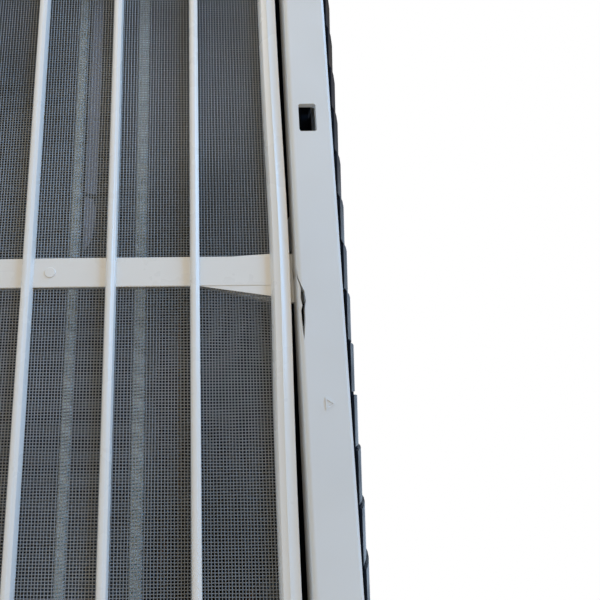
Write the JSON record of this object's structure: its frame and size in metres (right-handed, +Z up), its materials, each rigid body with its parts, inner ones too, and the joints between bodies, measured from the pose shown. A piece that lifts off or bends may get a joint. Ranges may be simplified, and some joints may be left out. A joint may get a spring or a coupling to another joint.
{
  "type": "split air conditioner indoor unit",
  "caption": "Wall-hung indoor unit of a split air conditioner with its front panel off, showing ribbed net filters over a finned coil, with a fan, vanes and outlet flap.",
  "frame": {"origin": "centre of the mounting plate's rear face, on the wall plane", "axes": "+X along the unit, +Y into the wall, +Z up"},
  "size_m": [0.8, 0.1954, 0.2882],
  "materials": {
    "casing_white": "moulded white styrene, satin",
    "filter_white": "soft white polypropylene",
    "filter_net": "fine woven dust net",
    "grille_black": "black moulding",
    "chassis_grey": "plain light grey moulding",
    "pan_grey": "plain grey moulding",
    "fin_aluminium": "thin coated fins",
    "copper": "drawn copper tube",
    "galvanised": "galvanised sheet",
    "steel": "plain steel",
    "fan_black": "glass-filled black plastic",
    "motor_steel": "zinc-coated motor can",
    "rubber": "moulded rubber",
    "foam": "closed-cell foam sleeve",
    "board_green": "glass-epoxy board",
    "component_black": "component cases",
    "brass": "turned brass",
    "smoked_window": "smoked acrylic",
    "vane_white": "white moulding"
  },
  "bodies": {
    "root": {"mounting_plate": "galvanised", "rear_chassis": "chassis_grey", "drain_pan": "pan_grey", "drain_spout": "rubber", "coil_fins_lower": "fin_aluminium", "coil_fins_upper": "fin_aluminium", "coil_fins_rear": "fin_aluminium", "coil_tubes": "copper", "coil_return_bends": "copper", "coil_end_plate_left": "galvanised", "coil_end_plate_right": "galvanised", "fan_bearing": "brass", "bearing_cushion": "rubber", "fan_motor": "motor_steel", "motor_cradle": "chassis_grey", "motor_strap": "galvanised", "liquid_pipe": "copper", "suction_pipe": "copper", "flare_nuts": "brass", "pipe_insulation": "foam", "flap_motor": "casing_white", "vane_base_left": "vane_white", "vane_base_right": "vane_white", "control_box": "galvanised", "control_box_cover": "galvanised", "circuit_board": "board_green", "board_components": "component_black", "terminal_block": "component_black", "terminal_screws": "brass", "top_grille": "grille_black", "front_frame": "casing_white", "terminal_cover": "casing_white", "display_window": "smoked_window", "display_board": "board_green", "frame_screws": "steel", "room_sensor": "copper", "sensor_clip": "fan_black"},
    "fan": {"cross_flow_fan": "fan_black", "fan_axle": "steel", "motor_shaft": "steel"},
    "flap": {"air_flap": "casing_white"},
    "filter_left": {"filter_left_frame": "filter_white", "filter_left_net": "filter_net"},
    "filter_right": {"filter_right_frame": "filter_white", "filter_right_net": "filter_net"},
    "vane_left_1": {"vane_left_1": "vane_white"},
    "vane_left_2": {"vane_left_2": "vane_white"},
    "vane_left_3": {"vane_left_3": "vane_white"},
    "vane_left_4": {"vane_left_4": "vane_white"},
    "vane_left_5": {"vane_left_5": "vane_white"},
    "vane_link_left": {"vane_link_left": "vane_white"},
    "vane_right_1": {"vane_right_1": "vane_white"},
    "vane_right_2": {"vane_right_2": "vane_white"},
    "vane_right_3": {"vane_right_3": "vane_white"},
    "vane_right_4": {"vane_right_4": "vane_white"},
    "vane_right_5": {"vane_right_5": "vane_white"},
    "vane_link_right": {"vane_link_right": "vane_white"}
  },
  "joints": [
    {"name": "fan_spin", "type": "hinge", "parent": "root", "child": "fan", "pos_m": [-0.06, -0.088, -0.02], "axis": [1, 0, 0], "continuous": true},
    {"name": "flap_tilt", "type": "hinge", "parent": "root", "child": "flap", "pos_m": [-0.06, -0.1225, -0.123], "axis": [1, 0, 0], "range_deg": [0, 75]},
    {"name": "filter_left_pull", "type": "slide", "parent": "root", "child": "filter_left", "axis": [0, -1, 0], "range_m": [0, 0.06]},
    {"name": "filter_right_pull", "type": "slide", "parent": "root", "child": "filter_right", "axis": [0, -1, 0], "range_m": [0, 0.06]},
    {"name": "vane_left_1_swing", "type": "hinge", "parent": "root", "child": "vane_left_1", "pos_m": [-0.345, -0.09465, -0.09221], "axis": [0, -0.8192, 0.5736], "range_deg": [-30, 30]},
    {"name": "vane_left_2_swing", "type": "hinge", "parent": "root", "child": "vane_left_2", "pos_m": [-0.295, -0.09465, -0.09221], "axis": [0, -0.8192, 0.5736], "range_deg": [-30, 30]},
    {"name": "vane_left_3_swing", "type": "hinge", "parent": "root", "child": "vane_left_3", "pos_m": [-0.245, -0.09465, -0.09221], "axis": [0, -0.8192, 0.5736], "range_deg": [-30, 30]},
    {"name": "vane_left_4_swing", "type": "hinge", "parent": "root", "child": "vane_left_4", "pos_m": [-0.195, -0.09465, -0.09221], "axis": [0, -0.8192, 0.5736], "range_deg": [-30, 30]},
    {"name": "vane_left_5_swing", "type": "hinge", "parent": "root", "child": "vane_left_5", "pos_m": [-0.145, -0.09465, -0.09221], "axis": [0, -0.8192, 0.5736], "range_deg": [-30, 30]},
    {"name": "vane_link_left_pivot", "type": "hinge", "parent": "vane_left_1", "child": "vane_link_left", "pos_m": [-0.345, -0.11849, -0.09139], "axis": [0, -0.8192, 0.5736], "range_deg": [-30, 30]},
    {"name": "vane_right_1_swing", "type": "hinge", "parent": "root", "child": "vane_right_1", "pos_m": [-0.02, -0.09465, -0.09221], "axis": [0, -0.8192, 0.5736], "range_deg": [-30, 30]},
    {"name": "vane_right_2_swing", "type": "hinge", "parent": "root", "child": "vane_right_2", "pos_m": [0.03, -0.09465, -0.09221], "axis": [0, -0.8192, 0.5736], "range_deg": [-30, 30]},
    {"name": "vane_right_3_swing", "type": "hinge", "parent": "root", "child": "vane_right_3", "pos_m": [0.08, -0.09465, -0.09221], "axis": [0, -0.8192, 0.5736], "range_deg": [-30, 30]},
    {"name": "vane_right_4_swing", "type": "hinge", "parent": "root", "child": "vane_right_4", "pos_m": [0.13, -0.09465, -0.09221], "axis": [0, -0.8192, 0.5736], "range_deg": [-30, 30]},
    {"name": "vane_right_5_swing", "type": "hinge", "parent": "root", "child": "vane_right_5", "pos_m": [0.18, -0.09465, -0.09221], "axis": [0, -0.8192, 0.5736], "range_deg": [-30, 30]},
    {"name": "vane_link_right_pivot", "type": "hinge", "parent": "vane_right_1", "child": "vane_link_right", "pos_m": [-0.02, -0.11849, -0.09139], "axis": [0, -0.8192, 0.5736], "range_deg": [-30, 30]}
  ],
  "couplings": [
    {"joint": "vane_left_2_swing", "follows": "vane_left_1_swing", "ratio": 1},
    {"joint": "vane_left_3_swing", "follows": "vane_left_1_swing", "ratio": 1},
    {"joint": "vane_left_4_swing", "follows": "vane_left_1_swing", "ratio": 1},
    {"joint": "vane_left_5_swing", "follows": "vane_left_1_swing", "ratio": 1},
    {"joint": "vane_link_left_pivot", "follows": "vane_left_1_swing", "ratio": -1},
    {"joint": "vane_right_2_swing", "follows": "vane_right_1_swing", "ratio": 1},
    {"joint": "vane_right_3_swing", "follows": "vane_right_1_swing", "ratio": 1},
    {"joint": "vane_right_4_swing", "follows": "vane_right_1_swing", "ratio": 1},
    {"joint": "vane_right_5_swing", "follows": "vane_right_1_swing", "ratio": 1},
    {"joint": "vane_link_right_pivot", "follows": "vane_right_1_swing", "ratio": -1}
  ]
}
